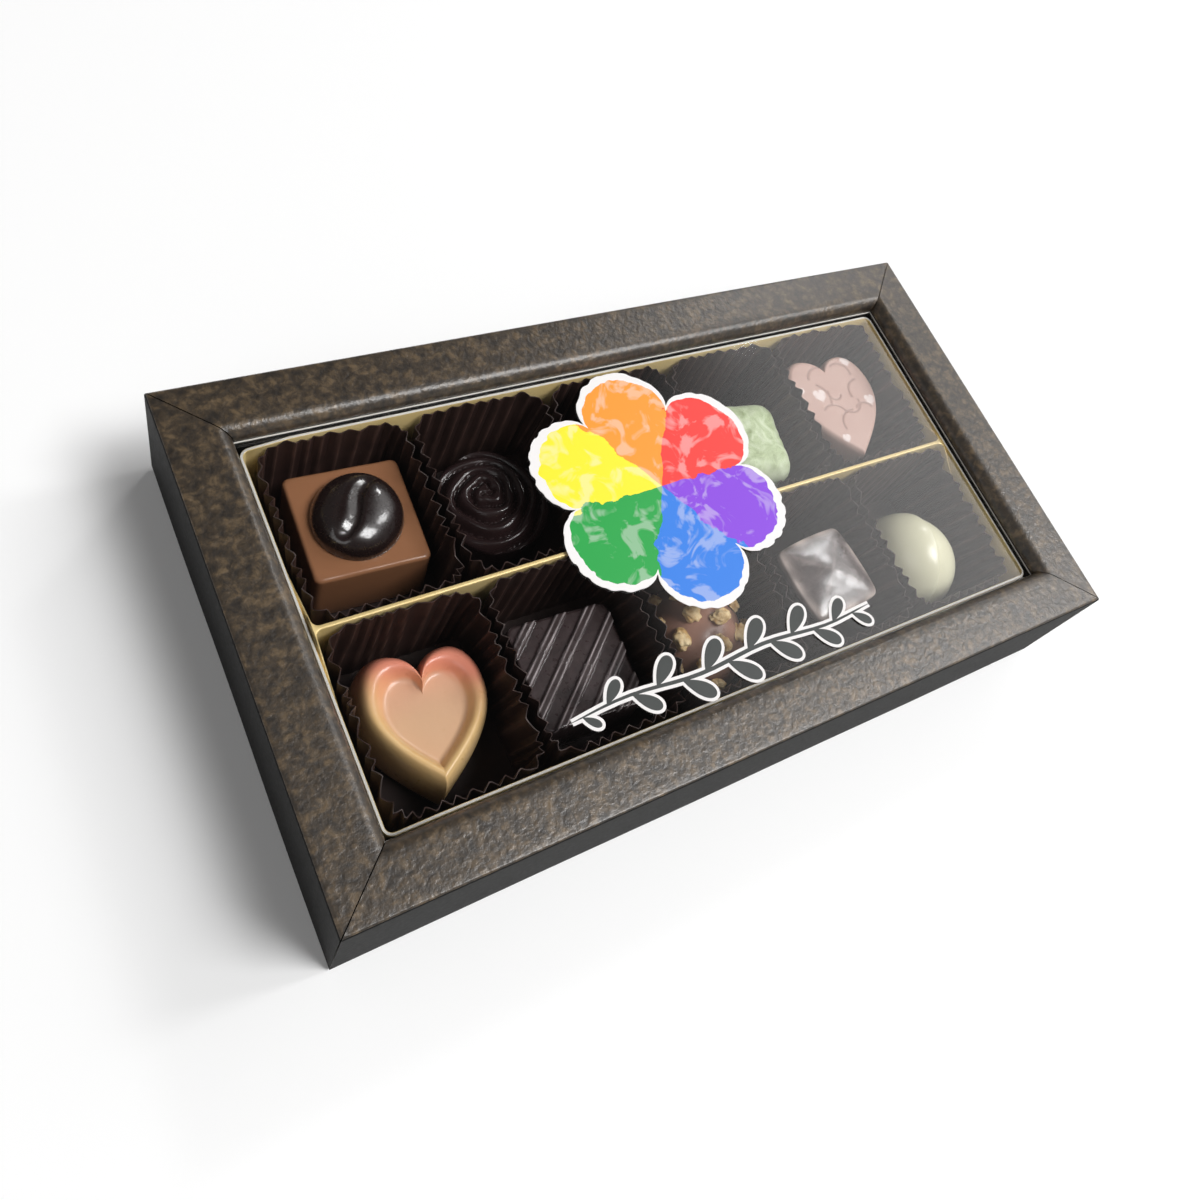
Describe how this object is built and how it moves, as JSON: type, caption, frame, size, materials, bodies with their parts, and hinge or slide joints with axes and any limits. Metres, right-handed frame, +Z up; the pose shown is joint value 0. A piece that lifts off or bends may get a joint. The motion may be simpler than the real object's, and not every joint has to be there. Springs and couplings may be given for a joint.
{
  "type": "chocolate box",
  "caption": "Low rectangular chocolate box: a lift-off card lid with a clear sunken window over a gold tray of filled chocolates in pleated paper cups.",
  "frame": {"origin": "under the middle of the box, on the surface that it stands on", "axes": "+X along the rows of chocolates, to the right; +Y to the back; +Z up"},
  "size_m": [0.2024, 0.116, 0.032],
  "materials": {
    "bronze_card": "grained and varnished card, dark bronze",
    "charcoal_card": "smooth satin card, charcoal",
    "gold_card": "gold foil on white card",
    "cup_paper": "glazed dark brown pleated paper",
    "milk_chocolate": "moulded milk chocolate",
    "dark_chocolate": "moulded dark chocolate",
    "pistachio_coating": "marbled pistachio chocolate",
    "pink_coating": "pale pink chocolate with pale specks",
    "pearl_coating": "pearl dusted chocolate, orange to red",
    "nut_dome_coating": "dipped milk chocolate",
    "chopped_nut": "roasted chopped nut",
    "marbled_coating": "dark chocolate with pale marbling",
    "white_chocolate": "moulded white chocolate",
    "window_film": "clear film",
    "sticker_print": "printed sticker"
  },
  "bodies": {
    "base": {"base_tray": "charcoal_card", "spacer_front": "charcoal_card", "spacer_right": "charcoal_card", "spacer_back": "charcoal_card", "spacer_left": "charcoal_card", "gold_tray": "gold_card", "gold_divider": "gold_card", "cup_milk_square": "cup_paper", "cup_dark_swirl": "cup_paper", "cup_fluted_round": "cup_paper", "cup_pistachio_block": "cup_paper", "cup_pink_heart": "cup_paper", "cup_pearl_heart": "cup_paper", "cup_ridged_square": "cup_paper", "cup_nut_dome": "cup_paper", "cup_marbled_pillow": "cup_paper", "cup_white_egg": "cup_paper", "milk_square": "milk_chocolate", "coffee_bean": "dark_chocolate", "dark_swirl": "dark_chocolate", "fluted_round": "milk_chocolate", "pistachio_block": "pistachio_coating", "pink_heart": "pink_coating", "pearl_heart": "pearl_coating", "ridged_square": "dark_chocolate", "nut_dome": "nut_dome_coating", "chopped_nut_1": "chopped_nut", "chopped_nut_2": "chopped_nut", "chopped_nut_3": "chopped_nut", "chopped_nut_4": "chopped_nut", "chopped_nut_5": "chopped_nut", "chopped_nut_6": "chopped_nut", "chopped_nut_7": "chopped_nut", "chopped_nut_8": "chopped_nut", "chopped_nut_9": "chopped_nut", "chopped_nut_10": "chopped_nut", "chopped_nut_11": "chopped_nut", "chopped_nut_12": "chopped_nut", "chopped_nut_13": "chopped_nut", "chopped_nut_14": "chopped_nut", "chopped_nut_15": "chopped_nut", "chopped_nut_16": "chopped_nut", "chopped_nut_17": "chopped_nut", "chopped_nut_18": "chopped_nut", "marbled_pillow": "marbled_coating", "white_egg": "white_chocolate"},
    "lid": {"frame_rail_front": "bronze_card", "frame_rail_right": "bronze_card", "frame_rail_back": "bronze_card", "frame_rail_left": "bronze_card", "mitre_tab_front_left": "charcoal_card", "mitre_tab_front_right": "charcoal_card", "mitre_tab_back_left": "charcoal_card", "mitre_tab_back_right": "charcoal_card", "window_film": "window_film", "flower_sticker": "sticker_print", "sprig_sticker": "sticker_print"}
  },
  "joints": [
    {"name": "lid_lift", "type": "slide", "parent": "base", "child": "lid", "axis": [0, 0, 1], "range_m": [0, 0.06]}
  ]
}
